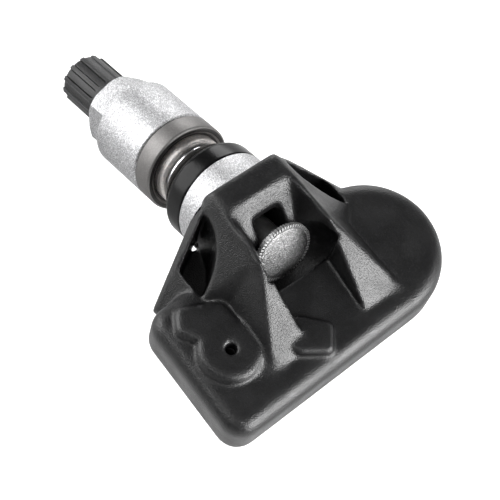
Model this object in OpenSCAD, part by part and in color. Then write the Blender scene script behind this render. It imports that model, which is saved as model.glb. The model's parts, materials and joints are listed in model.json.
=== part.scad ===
// Tyre pressure sensor on a swivelling clamp-in valve.
// Millimetres. The origin is where the valve's collar meets the rubber grommet, on the valve axis.
// +Z is up, out of the sensor's top face. +Y points to the rim hole, and +X to the battery end.
// The valve leaves the sensor along +Y and dips below its base by the valve angle.

/* [Swivel] */
// Angle of the valve below the sensor's base plane
valve_angle = 24; // [20:1:27]
// Distance from the grommet's seat back to the swivel centre
swivel_back = 21; // [20.6:0.1:21.6]
// Radius of the housing's outer swivel face, under the collar
swivel_r = 18; // [17.6:0.1:18.2]
// Radius of the ball seat that holds the bolt head
ball_seat_r = 7.85; // [7.8:0.01:8]
// Running gap between the collar and the swivel face
swivel_gap = 0.15; // [0.1:0.01:0.25]
// How much further down the valve can tilt
tilt_more = 1; // [0.5:0.5:1.5]
// How far up the valve can tilt
tilt_less = 16; // [14:1:17]

/* [Valve stem] */
// Radius of the collar behind the grommet
collar_r = 9; // [8.6:0.1:9.4]
// Radius of the neck inside the grommet
neck_r = 5.6; // [5.4:0.1:5.8]
// Radius of the bright lip in front of the grommet
lip_r = 5.95; // [5.85:0.05:6.1]
// Where the bright lip starts along the valve
lip_start = 7.05; // [6.8:0.05:7.2]
// Length of the bright lip
lip_len = 0.8; // [0.5:0.1:1]
// Outer radius of the stem's main thread
thread_r = 5.2; // [5:0.05:5.3]
// Where the main thread ends along the valve
thread_end = 25.5; // [24:0.5:27]
// Radius of the smooth stem past the main thread
shoulder_r = 4.6; // [4.3:0.1:4.8]
// Where the cap thread starts along the valve
nipple_start = 30.4; // [29.8:0.1:30.6]
// Outer radius of the cap thread
nipple_r = 3.85; // [3.7:0.05:3.9]
// Where the stem ends along the valve
stem_end = 40.2; // [39.8:0.1:40.4]

/* [Grommet] */
// Length of the grommet's straight side
grommet_side = 3.4; // [2.8:0.1:4]
// Radius of the grommet's front edge
grommet_nose_r = 6.5; // [6.2:0.1:6.9]

/* [Union nut and washer] */
// Radius of the washer and of the nut's barrel
barrel_r = 8.2; // [7.9:0.1:8.6]
// Where the washer's near face stands along the valve
washer_start = 10.0; // [9.8:0.1:10.3]
// Length of the washer
washer_len = 4.0; // [3.4:0.1:4.4]
// Radius of the centring ring in the washer
centring_r = 6.45; // [6.2:0.05:6.8]
// How far the centring ring stands out of the washer
centring_out = 1.7; // [1.2:0.1:1.8]
// Length of the nut's round barrel
barrel_len = 11.7; // [10:0.1:13]
// Length of the nut's hexagon, with its shoulder
hex_len = 5.6; // [4.8:0.1:6]
// Width of the hexagon across its flats
hex_flats = 12; // [11.8:0.1:13]

/* [Cap] */
// Outer radius of the cap at its corners
cap_r = 4.85; // [4.7:0.05:4.95]
// Length of the cap
cap_len = 11.25; // [11:0.05:11.6]
// How far the cap's foot stands inside the nut
cap_in_nut = 0.6; // [0.3:0.1:0.8]
// Number of grooves round the cap
cap_grooves = 12; // [8:1:12]
// Depth of the cap's grooves
groove_depth = 0.35; // [0.2:0.05:0.45]

/* [Bolt] */
// Radius of the bolt's shank
bolt_r = 2.6; // [2.4:0.1:2.6]
// Radius of the bolt head's rim
head_r = 5.45; // [5.2:0.05:5.45]
// Length of the bolt head's rim
head_rim = 0.75; // [0.6:0.05:0.9]
// Number of teeth on the front of the rim
head_teeth = 48; // [36:1:60]

/* [Sensor body] */
// Height of the body's flat top
top_z = 4.8; // [4.4:0.1:5.2]
// Height of the body's underside
base_z = -3.4; // [-3.8:0.1:-3.2]
// Left wall of the body
left_x = -24.6; // [-26:0.1:-23.5]
// Straight edge of the body away from the valve
far_y = -35.6; // [-37:0.1:-35]
// Radius of the two corners at the left wall
corner_r = 3.8; // [3.4:0.1:4.6]
// Where the body's left wall ends, towards the valve
near_y = -10.6; // [-11.5:0.1:-10]
// Radius of the round battery end
end_r = 12.3; // [12:0.1:12.8]
// Centre of the round battery end, along X
end_x = 13.5; // [12.5:0.1:14.5]
// Centre of the round battery end, along Y
end_y = -21.9; // [-22.5:0.1:-21.5]
// Radius of the rounding round the top edge
top_round = 2.6; // [1.8:0.1:3]
// Thickness of the body's roof over the cavity
roof = 1.5; // [1.3:0.1:1.6]
// Thickness of the body's side wall
wall = 1.9; // [1.6:0.1:2.2]

/* [Frame over the bolt] */
// Height of the bridge
bridge_z = 14.5; // [13.8:0.1:15]
// Half the width of the bridge
bridge_half = 6.6; // [6.3:0.1:7]
// Back edge of the bridge, where the steep plate starts
bridge_y = -6.4; // [-7:0.1:-6]
// Back end of the legs' level crest, where their slope starts
crest_y = -15.9; // [-16.3:0.1:-15.5]
// Where the legs run out on the flat top
leg_end_y = -30; // [-31:0.1:-29]
// Half the width across the legs at their ends
leg_end_half = 13.4; // [12.8:0.1:14]
// Half the width of the valley at the leg ends
valley_half = 5.4; // [5:0.1:5.8]
// Half the width of the valley beside the bolt head
valley_wide = 6.6; // [6.5:0.05:6.7]
// Half the width of the steep plate under the bridge, where it meets the ball seat
plate_foot = 4; // [3.6:0.1:4.2]
// Half the width of the slot that the bolt's shank swings in
slot_half = 2.8; // [2.7:0.05:3]
// Top edge of the slot on the steep plate
slot_y = -8.7; // [-9:0.05:-8.5]
// Gap between the bolt's shank and the slot's ends at the limits of the tilt
slot_gap = 0.2; // [0.15:0.05:0.3]

/* [Side pockets] */
// Thickness of the wall outside a side pocket
pocket_wall = 1.6; // [1.3:0.1:1.8]
// Outer side of a side pocket
pocket_x = 15; // [14.5:0.1:15.5]
// Radius of a pocket's bowed side
pocket_bow_r = 10.4; // [10:0.1:10.8]
// Height of a pocket's floor
pocket_floor = -1.2; // [-1.4:0.1:0]

/* [Pressure port] */
// Radius of the raised dome round the port
dome_r = 5.5; // [5.2:0.1:5.8]
// Height of the dome above the flat top
dome_h = 1.4; // [1.2:0.1:1.6]
// Radius of the pressure port
port_r = 0.95; // [0.8:0.05:1.1]
// Centre of the port, along X
port_x = -16.6; // [-17:0.1:-16.2]
// Centre of the port, along Y
port_y = -23; // [-23.4:0.1:-22.6]

/* [Inside] */
// Thickness of the bottom cover
cover_t = 1.35; // [1.2:0.05:1.4]
// How far the bottom cover stands below the body
cover_out = 0.2; // [0.1:0.05:0.3]
// Thickness of the circuit board
board_t = 0.8; // [0.6:0.1:0.8]
// Radius of the battery cell
cell_r = 8; // [7.5:0.1:8.1]
// Thickness of the battery cell
cell_t = 3.2; // [2.8:0.1:3.2]
// Gap kept between pieces that don't touch
gap = 0.1; // [0.05:0.01:0.12]

/* [Hidden] */

round_fn = 96;
fine_fn = 32;
// A small step that makes cuts pass right through
pass = 1;
// Swivel centre
pivot = [0, -swivel_back * cos(valve_angle), swivel_back * sin(valve_angle)];

// The body's three corner circles: centre x, centre y, radius
body_circles = [
    [left_x + corner_r, far_y + corner_r, corner_r],
    [end_x, end_y, end_r],
    [left_x + corner_r, near_y - corner_r, corner_r]];

function less(circles, inset) = [for (c = circles) [c[0], c[1], c[2] - inset]];
// Outward direction at which one straight line touches circles a and b
function touch_angle(a, b) =
    atan2(b[1] - a[1], b[0] - a[0]) - acos((a[2] - b[2]) / norm([b[0] - a[0], b[1] - a[1]]));

// Arc of circle b from the line that comes from a to the line that leaves for c
function arc_points(a, b, c) =
    let (start = touch_angle(a, b), turn = (touch_angle(b, c) - start + 720) % 360,
        steps = ceil(turn / arc_step))
    [for (i = [0 : steps]) let (t = start + turn * i / steps)
        [b[0] + b[2] * cos(t), b[1] + b[2] * sin(t)]];
arc_step = 6;

// Plan of the body, moved inwards by an inset: three arcs joined by straight lines
module body_plan(inset = 0) {
    circles = less(body_circles, inset);
    n = len(circles);
    polygon([for (i = [0 : n - 1])
        each arc_points(circles[(i + n - 1) % n], circles[i], circles[(i + 1) % n])]);
}

// A point past b on the line from a
function beyond(a, b, share) = a + (b - a) * (1 + share);

// Puts local +Z on the valve axis, away from the sensor
module on_valve() {
    rotate([-(90 + valve_angle), 0, 0]) children();
}

// A turned piece on the valve axis from a list of [radius, distance]
module turned(points) {
    on_valve() rotate_extrude($fn = round_fn) polygon(points);
}

// A cylinder across the body through the swivel centre
module swivel_cylinder(r, width) {
    translate(pivot) rotate([0, 90, 0]) cylinder(r = r, h = width, center = true, $fn = 180);
}

// A disc with a rounded top edge, for hulls
module soft_disc(r, rounding, z_low, z_high, fn = fine_fn) {
    steps = 5;
    rotate_extrude($fn = fn)
        polygon(concat([[0, z_low], [r, z_low]],
            [for (i = [0 : steps]) let (t = 90 * i / steps)
                [r - rounding + rounding * cos(t), z_high - rounding + rounding * sin(t)]],
            [[0, z_high]]));
}

// Both sides of what is drawn for the right side
module both_sides() {
    children();
    mirror([1, 0, 0]) children();
}

// Sensor housing

// Corners of the frame's outer wall, from the bridge down to the body's corner
wing_near = [9.6, -2.4, 9];
wing_mid = [11.4, -3.6, 7];
wing_far_left = [20.6, -8.7, base_z + 1.4];
wing_far_right = [18.6, -9.2, base_z + 2.4];
wing_back = [19.6, -12.5, base_z + 2.9];
// Where a wing's slope reaches the flat top beside the leg
wing_foot = [13.3, -16, top_z];
// Where a leg's outer side reaches the flat top behind the wing
leg_side = [12.9, -17.5, top_z];
// How far the frame's corners run on into the body, as a share of their edge
sink = 0.06;

bridge_corner = [bridge_half, bridge_y, bridge_z];
leg_crest = [bridge_half + 0.35, crest_y, bridge_z];
leg_toe = [leg_end_half, leg_end_y, top_z];

module body_block() {
    hull() {
        for (c = body_circles) translate([c[0], c[1], 0])
            soft_disc(c[2], top_round, base_z, top_z, c[2] > 2 * corner_r ? 72 : fine_fn);
    }
}

// A corner on the other side of the body's middle plane when the side is -1
function on_side(side, p) = [side * p[0], p[1], p[2]];
function lowered(p, z) = [p[0], p[1], z];

// Bridge and both legs. Their level crest ends in one slope, and the low corners lie in the body.
module leg_block() {
    block_through([
        for (side = [-1, 1])
        let (toe = beyond(leg_crest, leg_toe, sink), flank = beyond(leg_crest, leg_side, sink))
        for (p = [bridge_corner, [bridge_half - 0.3, -2.2, bridge_z],
            [bridge_half + 0.2, -1, bridge_z - 1.2], [bridge_half + 0.2, -1, base_z],
            leg_crest, toe, lowered(toe, base_z + 1), flank, lowered(flank, base_z)])
        on_side(side, p)]);
}

// The convex block that spans a list of corners
module block_through(corners) {
    hull() polyhedron(corners, [[for (i = [0 : len(corners) - 1]) i]]);
}

module wing_block(wing_far) {
    block_through([
        bridge_corner - [0.2, 0, 0.1], leg_crest + [-0.2, 0.3, -0.1],
        [bridge_half, -2.6, bridge_z - 0.5],
        wing_near, lowered(wing_near, base_z), wing_mid, lowered(wing_mid, base_z),
        wing_far, lowered(wing_far, base_z), wing_back, lowered(wing_back, base_z),
        beyond(leg_crest, wing_foot, sink), lowered(wing_foot, base_z),
        [bridge_half - 2, bridge_y, base_z], [bridge_half - 2, -2.6, base_z]]);
}

// Plan of a side pocket: outer wall, outer side and a bowed side towards the leg
module pocket_plan() {
    along = atan2(wing_far_left[1] - wing_near[1], wing_far_left[0] - wing_near[0]);
    inner = [wing_near[0] + pocket_wall * sin(along), wing_near[1] - pocket_wall * cos(along)];
    intersection() {
        translate([pocket_x + 3.55, -3.43]) circle(pocket_bow_r, $fn = round_fn);
        translate(inner) rotate(along) translate([-10, -30]) square([40, 30]);
        translate([0, -20]) square([pocket_x, 20]);
    }
}

// Raised land beside the dome
module side_land() {
    hull() {
        for (p = [[-19.2, -14.2], [-20.4, -16.1], [-14.2, -16.6], [-13.6, -21.5], [-17.5, -20.5]])
            translate(p) soft_disc(1.6, 1.2, top_z - 1, top_z + dome_h - 0.1);
    }
}

// Low lug at the end of the left leg
module leg_lug() {
    hull() {
        for (p = [[-1.6, -28.8], [-3.7, -31.5], [-7.2, -29.2], [-8, -27.2], [-4.9, -25.3]])
            translate(p) soft_disc(1, 0.6, top_z - 1, top_z + 1.5);
    }
}

// Valley between the legs, cut from the frame alone so that the flat top stays its floor
module valley_cut() {
    translate([0, 0, top_z - 2]) linear_extrude(30)
        polygon([[-valley_half, leg_end_y - 6], [valley_half, leg_end_y - 6],
            [valley_half, leg_end_y], [valley_wide, valley_top],
            [-valley_wide, valley_top], [-valley_half, leg_end_y]]);
}

valley_top = -15.3;

// Steep plate under the bridge, with the slanted walls that rise from its sides to the legs
module plate_cut() {
    top = [bridge_half - 0.1, bridge_y, bridge_z];
    foot = [plate_foot, bridge_y - plate_drop, bridge_z - plate_drop];
    crest = [valley_wide, crest_y, bridge_z];
    high = beyond(foot, top, 0.12);
    low = beyond(top, foot, 0.5);
    rise = 1.25 * (crest - low);
    edge = [high, low, low + rise, high + rise];
    polyhedron([for (side = [1, -1]) for (p = edge) on_side(side, p)],
        [[0, 1, 2, 3], [7, 6, 5, 4], [4, 5, 1, 0], [5, 6, 2, 1], [6, 7, 3, 2], [7, 4, 0, 3]]);
}

// How far the steep plate runs back, and down, at 45 degrees
plate_drop = 5.9;
pit_skin = 1;

// Ball seat that the bolt head clamps on. It ends in a flat wall below the swivel centre.
module head_pit(skin = 0) {
    intersection() {
        translate(pivot) rotate([-(90 + valve_angle), 0, 0])
            sphere(ball_seat_r + skin, $fn = round_fn);
        translate([-20, pivot[1] - skin, -20]) cube([40, 40, 60]);
    }
}

// Room for the shank over the whole swing, open to the top of the slope
module slot_cut() {
    swing_down = valve_angle + tilt_more;
    swing_up = valve_angle - tilt_less;
    side = bolt_r + slot_gap;
    function at(angle, reach, across) = [pivot[1] + reach * cos(angle) + across * sin(angle),
        pivot[2] - reach * sin(angle) + across * cos(angle)];
    low_near = at(swing_down, 4, -side);
    low_far = at(swing_down, swivel_r + 3, -side);
    high_far = at(swing_up, swivel_r + 3, side);
    high_near = at(swing_up, 8, side);
    rotate([90, 0, 90]) linear_extrude(2 * slot_half, center = true)
        polygon([low_near, low_far, high_far, high_near, at(swing_up, 2, side)]);
    // Window in the steep plate, with two rounded corners
    corner = 0.8;
    translate([0, 0, pivot[2] - 3]) linear_extrude(20) {
        translate([-slot_half, pivot[1]]) square([2 * slot_half, slot_y - corner - pivot[1]]);
        translate([-slot_half + corner, pivot[1]])
            square([2 * (slot_half - corner), slot_y - pivot[1]]);
        for (s = [-1, 1]) translate([s * (slot_half - corner), slot_y - corner])
            circle(corner, $fn = fine_fn);
    }
}

cavity_top = top_z - roof;
cavity_y = -14.2;
cover_top = base_z - cover_out + cover_t;

module cavity_cut() {
    difference() {
        translate([0, 0, base_z - pass]) linear_extrude(cavity_top - base_z + pass)
            intersection() {
                body_plan(wall);
                translate([-50, cavity_y - 50]) square([100, 50]);
            }
        head_pit(pit_skin);
    }
    translate([0, 0, base_z - pass]) linear_extrude(cover_top + pass - base_z)
        intersection() {
            body_plan(wall - 0.9);
            translate([-50, cavity_y - 49.1]) square([100, 50]);
        }
}

module housing() {
    color([0.16, 0.16, 0.17]) {
        leg_lug();
        housing_shell();
    }
}

module housing_shell() {
    difference() {
        union() {
            body_block();
            difference() {
                intersection() {
                    union() {
                        leg_block();
                        wing_block(wing_far_right);
                        mirror([1, 0, 0]) wing_block(wing_far_left);
                    }
                    swivel_cylinder(swivel_r, 60);
                }
                valley_cut();
                plate_cut();
            }
            translate([port_x, port_y, 0])
                soft_disc(dome_r, dome_h, top_z - 1, top_z + dome_h, 64);
            side_land();
        }
        head_pit();
        slot_cut();
        both_sides() translate([0, 0, pocket_floor]) linear_extrude(30) pocket_plan();
        cavity_cut();
        translate([port_x, port_y, 0]) cylinder(r = port_r, h = 20, $fn = fine_fn);
    }
}

module base_cover() {
    color([0.2, 0.2, 0.21]) translate([0, 0, base_z - cover_out]) linear_extrude(cover_t - gap / 2)
        intersection() {
            body_plan(wall - 0.9 + gap);
            translate([-50, cavity_y - 49.1 - gap]) square([100, 50]);
        }
}

// Electronics

board_z = cover_top + 0.25;
board_top = board_z + board_t;
cell_x = end_x + 1.9;
cell_y = end_y - 0.7;
tab_t = 0.2;
cell_z = board_top + tab_t;

module circuit_board() {
    color([0.1, 0.35, 0.18]) translate([0, 0, board_z]) linear_extrude(board_t)
        intersection() {
            body_plan(wall + 2 * gap);
            translate([-50, cavity_y - 50 - 2 * gap]) square([100, 50]);
        }
}

module battery_cell() {
    color([0.75, 0.76, 0.78]) translate([cell_x, cell_y, cell_z])
        rotate_extrude($fn = round_fn) polygon([[0, 0], [cell_r - 1.2, 0], [cell_r - 1.2, 0.15],
            [cell_r - 0.2, 0.35], [cell_r, 0.6], [cell_r, cell_t], [0, cell_t]]);
}

// A contact strip: a flat bar across the cell and, for the upper one, a leg down to the board
module battery_tab_top() {
    color([0.8, 0.78, 0.7]) {
        translate([cell_x - cell_r - 0.6, cell_y - 1.5, cell_z + cell_t])
            cube([cell_r + 3, 3, tab_t]);
        translate([cell_x - cell_r - 0.6, cell_y - 1.5, board_top])
            cube([tab_t, 3, cell_z + cell_t - board_top + tab_t]);
    }
}

module battery_tab_bottom() {
    color([0.8, 0.78, 0.7]) translate([cell_x - 3, cell_y - 1.5, board_top])
        cube([7, 3, tab_t]);
}

module chip(x, y, w, d, h) {
    translate([x - w / 2, y - d / 2, board_top]) cube([w, d, h]);
}

chip_h = 1.6;

module pressure_chip() {
    color([0.12, 0.12, 0.13]) difference() {
        chip(port_x, port_y, 5, 5, chip_h);
        translate([port_x, port_y, board_top + chip_h - 0.5]) cylinder(r = 0.6, h = 2, $fn = 24);
    }
}

// Soft ring that seals the port to the pressure chip
module port_seal() {
    color([0.35, 0.35, 0.36]) translate([port_x, port_y, board_top + chip_h])
        difference() {
            cylinder(r = 1.9, h = cavity_top - board_top - chip_h - gap / 2, $fn = 48);
            translate([0, 0, -pass]) cylinder(r = port_r, h = 10, $fn = 32);
        }
}

module radio_chip() {
    color([0.12, 0.12, 0.13]) chip(-8.5, -30, 5, 5, 0.9);
}

// Ferrite bar with a wound middle
module lf_coil() {
    coil_x = -16.5;
    coil_y = -30.6;
    color([0.3, 0.25, 0.22]) {
        chip(coil_x, coil_y, 7.4, 2.4, 2.2);
        translate([coil_x - 2.4, coil_y, board_top + 1.3]) rotate([0, 90, 0])
            cylinder(r = 1.3, h = 4.8, $fn = 32);
    }
}

module crystal() {
    color([0.78, 0.78, 0.8]) chip(-2.6, -31.4, 3.2, 2.5, 0.8);
}

module capacitors() {
    color([0.7, 0.6, 0.45])
        for (i = [0 : 5]) chip(-20.6 + 1.5 * (i % 3), -16.4 - 1.9 * floor(i / 3), 0.9, 1.5, 0.8);
}

// Standing strip that radiates the signal
module antenna_strip() {
    color([0.8, 0.78, 0.7]) {
        translate([-12, -17.2, board_top]) cube([10.4, 0.4, 0.8]);
        translate([-12, -17.2, board_top]) cube([0.4, 2.6, 0.8]);
    }
}

// Valve

stem_bolt_bore = bolt_r + 0.02;
core_bore_r = 1.95;
core_thread_r = 2.45;

module valve_stem() {
    color([0.72, 0.72, 0.74]) difference() {
        turned([[0, -6], [collar_r - 0.2, -6], [collar_r, -5.8], [collar_r, -0.1],
            [collar_r - 0.1, 0], [neck_r, 0], [neck_r, lip_start - 0.1],
            [lip_r - 0.15, lip_start], [lip_r, lip_start + 0.15],
            [lip_r, lip_start + lip_len - 0.15], [lip_r - 0.15, lip_start + lip_len],
            [thread_r - 0.2, lip_start + lip_len], [thread_r, lip_start + lip_len + 0.4],
            [thread_r, thread_end - 0.5], [shoulder_r, thread_end],
            [shoulder_r, nipple_start - 0.3], [shoulder_r - 0.3, nipple_start],
            [nipple_r, nipple_start], [nipple_r, stem_end - 0.4], [nipple_r - 0.4, stem_end],
            [0, stem_end]]);
        // Hollow back that swings on the housing
        swivel_cylinder(swivel_r + swivel_gap, 60);
        // Bolt hole, air way, core chamber and core thread
        on_valve() {
            translate([0, 0, -20]) cylinder(r = stem_bolt_bore, h = 27.5, $fn = 48);
            cylinder(r = 1.1, h = 60, $fn = 32);
            translate([0, 0, 24]) cylinder(r = core_bore_r, h = 40, $fn = 48);
            translate([0, 0, 33.6]) cylinder(r = core_thread_r, h = 40, $fn = 48);
        }
    }
}

module rim_grommet() {
    color([0.05, 0.05, 0.055]) turned([[neck_r, 0], [collar_r - 0.3, 0], [collar_r, 0.25],
        [collar_r, grommet_side - 0.3], [collar_r - 0.15, grommet_side + 0.15],
        [collar_r - 0.5, grommet_side + 0.6], [grommet_nose_r + 0.5, lip_start - 0.5],
        [grommet_nose_r, lip_start - 0.25], [neck_r, lip_start - 0.2]]);
}

head_back = -16.45;
rim_back = head_back + 0.1;
rim_front = rim_back + head_rim;
ball_r = norm([swivel_back + rim_front, head_r]);
dome_side = head_r - 0.7;
dome_bulge = 0.55;
tooth_len = 0.3;
bolt_tip = 6.5;
cross_hole = -9;

// Hollow bolt with a domed head, a toothed rim and a ball-shaped shoulder under it
module retaining_bolt() {
    color([0.72, 0.72, 0.74]) difference() {
        union() {
            turned(concat([[0, head_back - dome_bulge]],
                [for (t = [0.35, 0.65, 0.85, 0.95])
                    [dome_side * t, head_back - dome_bulge * (1 - t * t)]],
                [[dome_side, head_back + 0.05], [dome_side, rim_back], [head_r - 0.1, rim_back],
                    [head_r, rim_back + 0.15], [head_r, rim_front], [0, rim_front]]));
            on_valve() intersection() {
                translate([0, 0, rim_front - pass]) cylinder(r = head_r - 0.45, h = 12, $fn = 96);
                translate([0, 0, -swivel_back]) sphere(ball_r, $fn = 96);
                translate([0, 0, rim_front]) cylinder(r1 = head_r - 0.2, r2 = bolt_r, h = 2.6,
                    $fn = 96);
            }
            on_valve() for (i = [0 : head_teeth - 1]) rotate(360 * i / head_teeth)
                translate([head_r - 0.75, -0.16, rim_front - 0.1])
                    cube([0.5, 0.32, tooth_len + 0.1]);
            on_valve() translate([0, 0, rim_front - 0.1])
                cylinder(r = bolt_r, h = bolt_tip - rim_front + 0.1, $fn = 48);
        }
        on_valve() translate([0, 0, cross_hole]) cylinder(r = 0.8, h = 40, $fn = 24);
        on_valve() translate([0, 0, cross_hole]) rotate([0, 90, 0])
            cylinder(r = 0.7, h = 20, center = true, $fn = 24);
    }
}

core_foot = 28.4;
core_head = 39.3;

module valve_core_body() {
    color([0.78, 0.66, 0.36]) difference() {
        turned([[0, core_foot], [1.7, core_foot], [1.7, 32.2], [1.45, 32.3], [1.45, 33.7],
            [1.7, 33.8], [core_thread_r - gap, 34.2], [core_thread_r - gap, core_head],
            [0, core_head]]);
        on_valve() {
            translate([0, 0, core_foot + 0.5]) cylinder(r = 1, h = 20, $fn = 32);
            cylinder(r = 0.6, h = 60, $fn = 32);
        }
        // Two flats at the head for the core tool
        on_valve() for (s = [-1, 1]) translate([s * 2.6 - 1.1, -5, core_head - 2])
            cube([2.2, 10, 3]);
    }
}

module valve_core_gasket() {
    color([0.9, 0.9, 0.88]) turned([[1.5, 32.35], [core_bore_r - gap / 2, 32.5],
        [core_bore_r - gap / 2, 33.4], [1.5, 33.65]]);
}

spring_low = core_foot + 0.55;
spring_high = 36.4;
spring_turns = 7;
spring_sides = 6;
spring_steps = 14;
spring_r = 0.74;
wire_r = 0.12;

function coil_point(i, j) =
    let (t = i / spring_steps, turn = 360 * t, side = 360 * j / spring_sides,
        z = spring_low + wire_r + (spring_high - spring_low - 2 * wire_r) * t / spring_turns,
        r = spring_r + wire_r * cos(side))
    [r * cos(turn), r * sin(turn), z + wire_r * sin(side)];

module valve_core_spring() {
    rings = spring_turns * spring_steps;
    points = [for (i = [0 : rings]) for (j = [0 : spring_sides - 1]) coil_point(i, j)];
    sides = [for (i = [0 : rings - 1]) for (j = [0 : spring_sides - 1])
        let (k = (j + 1) % spring_sides, a = i * spring_sides, b = a + spring_sides)
        each [[a + j, b + j, b + k], [a + j, b + k, a + k]]];
    ends = [[for (j = [0 : spring_sides - 1]) j],
        [for (j = [spring_sides - 1 : -1 : 0]) rings * spring_sides + j]];
    color([0.8, 0.8, 0.82]) on_valve() polyhedron(points, concat(sides, ends));
}

pin_tip = stem_end - 0.3;
pin_r = 0.45;
core_stroke = 1.2;

module valve_core_pin() {
    color([0.8, 0.68, 0.38]) turned([[0, 26.6], [pin_r, 26.6], [pin_r, spring_high + gap / 2],
        [0.9, spring_high + gap / 2], [0.9, spring_high + 0.5], [pin_r, spring_high + 0.6],
        [pin_r, pin_tip - 0.2], [pin_r - 0.2, pin_tip], [0, pin_tip]]);
}

module valve_core_cup() {
    color([0.1, 0.1, 0.1]) turned([[pin_r, 26.8], [1.5, 26.8], [1.5, core_foot - 0.1],
        [1, core_foot - 0.05], [pin_r, core_foot - 0.05]]);
}

// Washer, ring and union nut

module thrust_washer() {
    inner = centring_r + 0.05;
    end = washer_start + washer_len;
    color([0.55, 0.54, 0.53]) turned([[inner, washer_start + 0.4],
        [inner + 0.35, washer_start + 0.4], [inner + 0.8, washer_start],
        [barrel_r - 0.35, washer_start], [barrel_r, washer_start + 0.35],
        [barrel_r, end - 0.25], [barrel_r - 0.25, end], [thread_r + 0.15, end],
        [thread_r + 0.15, washer_start + 1.2], [inner, washer_start + 1.2]]);
}

module centring_ring() {
    color([0.6, 0.57, 0.54]) turned([[thread_r + 0.15, washer_start - centring_out + 0.2],
        [thread_r + 0.35, washer_start - centring_out],
        [centring_r - 0.35, washer_start - centring_out],
        [centring_r, washer_start - centring_out + 0.35], [centring_r, washer_start + 1.15],
        [thread_r + 0.15, washer_start + 1.15]]);
}

nut_start = washer_start + washer_len + gap;
barrel_end = nut_start + barrel_len;
nut_end = barrel_end + hex_len;

module union_nut() {
    corner = hex_flats / 2 / cos(30);
    color([0.74, 0.74, 0.76]) difference() {
        union() {
            turned([[0, nut_start], [barrel_r - 0.25, nut_start], [barrel_r, nut_start + 0.25],
                [barrel_r, barrel_end - 0.2], [barrel_r - 0.35, barrel_end],
                [hex_flats / 2 + 0.3, barrel_end + 1.5], [0, barrel_end + 1.5]]);
            on_valve() intersection() {
                translate([0, 0, barrel_end - 1]) rotate(-19.4)
                    cylinder(r = corner, h = hex_len + 1, $fn = 6);
                translate([0, 0, nut_end - 12]) cylinder(r1 = hex_flats / 2 + 12.2,
                    r2 = hex_flats / 2 + 0.2, h = 12, $fn = round_fn);
            }
        }
        on_valve() translate([0, 0, nut_start - pass])
            cylinder(r = thread_r + 0.1, h = nut_end - nut_start + 2 * pass, $fn = round_fn);
    }
}

// Cap

cap_start = nut_end - cap_in_nut;
cap_end = cap_start + cap_len;
cap_inside = stem_end + 0.8;

module cap_seal() {
    color([0.12, 0.12, 0.12]) turned([[1.6, stem_end + 0.05], [nipple_r - 0.2, stem_end + 0.05],
        [nipple_r - 0.2, cap_inside - 0.02], [1.6, cap_inside - 0.02]]);
}

module valve_cap() {
    color([0.08, 0.08, 0.085]) difference() {
        on_valve() intersection() {
            translate([0, 0, cap_start]) rotate(5)
                cylinder(r = cap_r, h = cap_len, $fn = cap_grooves);
            translate([0, 0, cap_end - 12]) cylinder(r1 = cap_r + 11.6, r2 = cap_r - 0.4,
                h = 12, $fn = round_fn);
        }
        on_valve() {
            translate([0, 0, cap_start - pass])
                cylinder(r = nipple_r + gap, h = cap_inside - cap_start + pass, $fn = 64);
            for (i = [0 : cap_grooves - 1]) rotate(5 + 360 * i / cap_grooves)
                translate([cap_r - groove_depth, 0, cap_start + 1]) {
                    translate([0, -0.2, 0]) cube([2, 0.4, cap_len]);
                    rotate([0, 90, 0]) cylinder(r = 0.42, h = 2, $fn = 20);
                }
        }
    }
}

housing();
base_cover();
circuit_board();
battery_cell();
battery_tab_top();
battery_tab_bottom();
pressure_chip();
port_seal();
radio_chip();
lf_coil();
crystal();
capacitors();
antenna_strip();
valve_stem();
rim_grommet();
retaining_bolt();
valve_core_body();
valve_core_gasket();
valve_core_spring();
valve_core_pin();
valve_core_cup();
thrust_washer();
centring_ring();
union_nut();
cap_seal();
valve_cap();
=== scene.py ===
"""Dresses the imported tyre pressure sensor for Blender.

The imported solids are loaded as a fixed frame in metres. This script rounds the moulded housing,
cuts the valve's threads and the bolt's serrations, and gives every piece its finish. The valve
axis runs from the swivel towards the rim hole and dips below the sensor's base.
"""
import json
import logging
import math
from collections.abc import Callable, Iterator
from contextlib import contextmanager
from dataclasses import dataclass
from enum import Enum
from typing import ClassVar

import bmesh
import bpy
from bpy.types import (ID, Material, Mesh, Node, NodeSocket, NodeTree, NodeTreeInterfaceSocket,
                       Object)
from mathutils import Matrix, Vector


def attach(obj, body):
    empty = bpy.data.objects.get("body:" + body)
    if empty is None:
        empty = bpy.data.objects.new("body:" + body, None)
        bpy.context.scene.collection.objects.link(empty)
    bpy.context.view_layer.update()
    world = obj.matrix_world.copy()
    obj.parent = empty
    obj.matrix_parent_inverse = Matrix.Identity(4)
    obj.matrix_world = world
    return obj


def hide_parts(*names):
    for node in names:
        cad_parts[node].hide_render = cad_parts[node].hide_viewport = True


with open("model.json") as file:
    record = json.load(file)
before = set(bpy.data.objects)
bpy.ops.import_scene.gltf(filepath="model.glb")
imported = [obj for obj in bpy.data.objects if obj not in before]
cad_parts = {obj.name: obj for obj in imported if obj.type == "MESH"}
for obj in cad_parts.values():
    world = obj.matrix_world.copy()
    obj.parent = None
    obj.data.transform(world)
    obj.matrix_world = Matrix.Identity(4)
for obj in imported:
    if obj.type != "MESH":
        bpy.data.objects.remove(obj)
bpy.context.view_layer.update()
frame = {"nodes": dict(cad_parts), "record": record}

LOG = logging.getLogger("pressure_sensor")
MM = 0.001
VALVE_DIP = math.radians(24)
VALVE_AXIS = Vector((0.0, math.cos(VALVE_DIP), -math.sin(VALVE_DIP)))
# Turn about X that lays local +Z onto the valve axis
VALVE_TILT = -math.radians(90) - VALVE_DIP
VALVE_TURN = Matrix.Rotation(VALVE_TILT, 4, "X")
WHITE = (1.0, 1.0, 1.0, 1.0)

# Slow noises of the shader groups, in cycles per metre
CLOUD_SCALE = 260.0
BREAK_SCALE = 900.0
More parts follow.
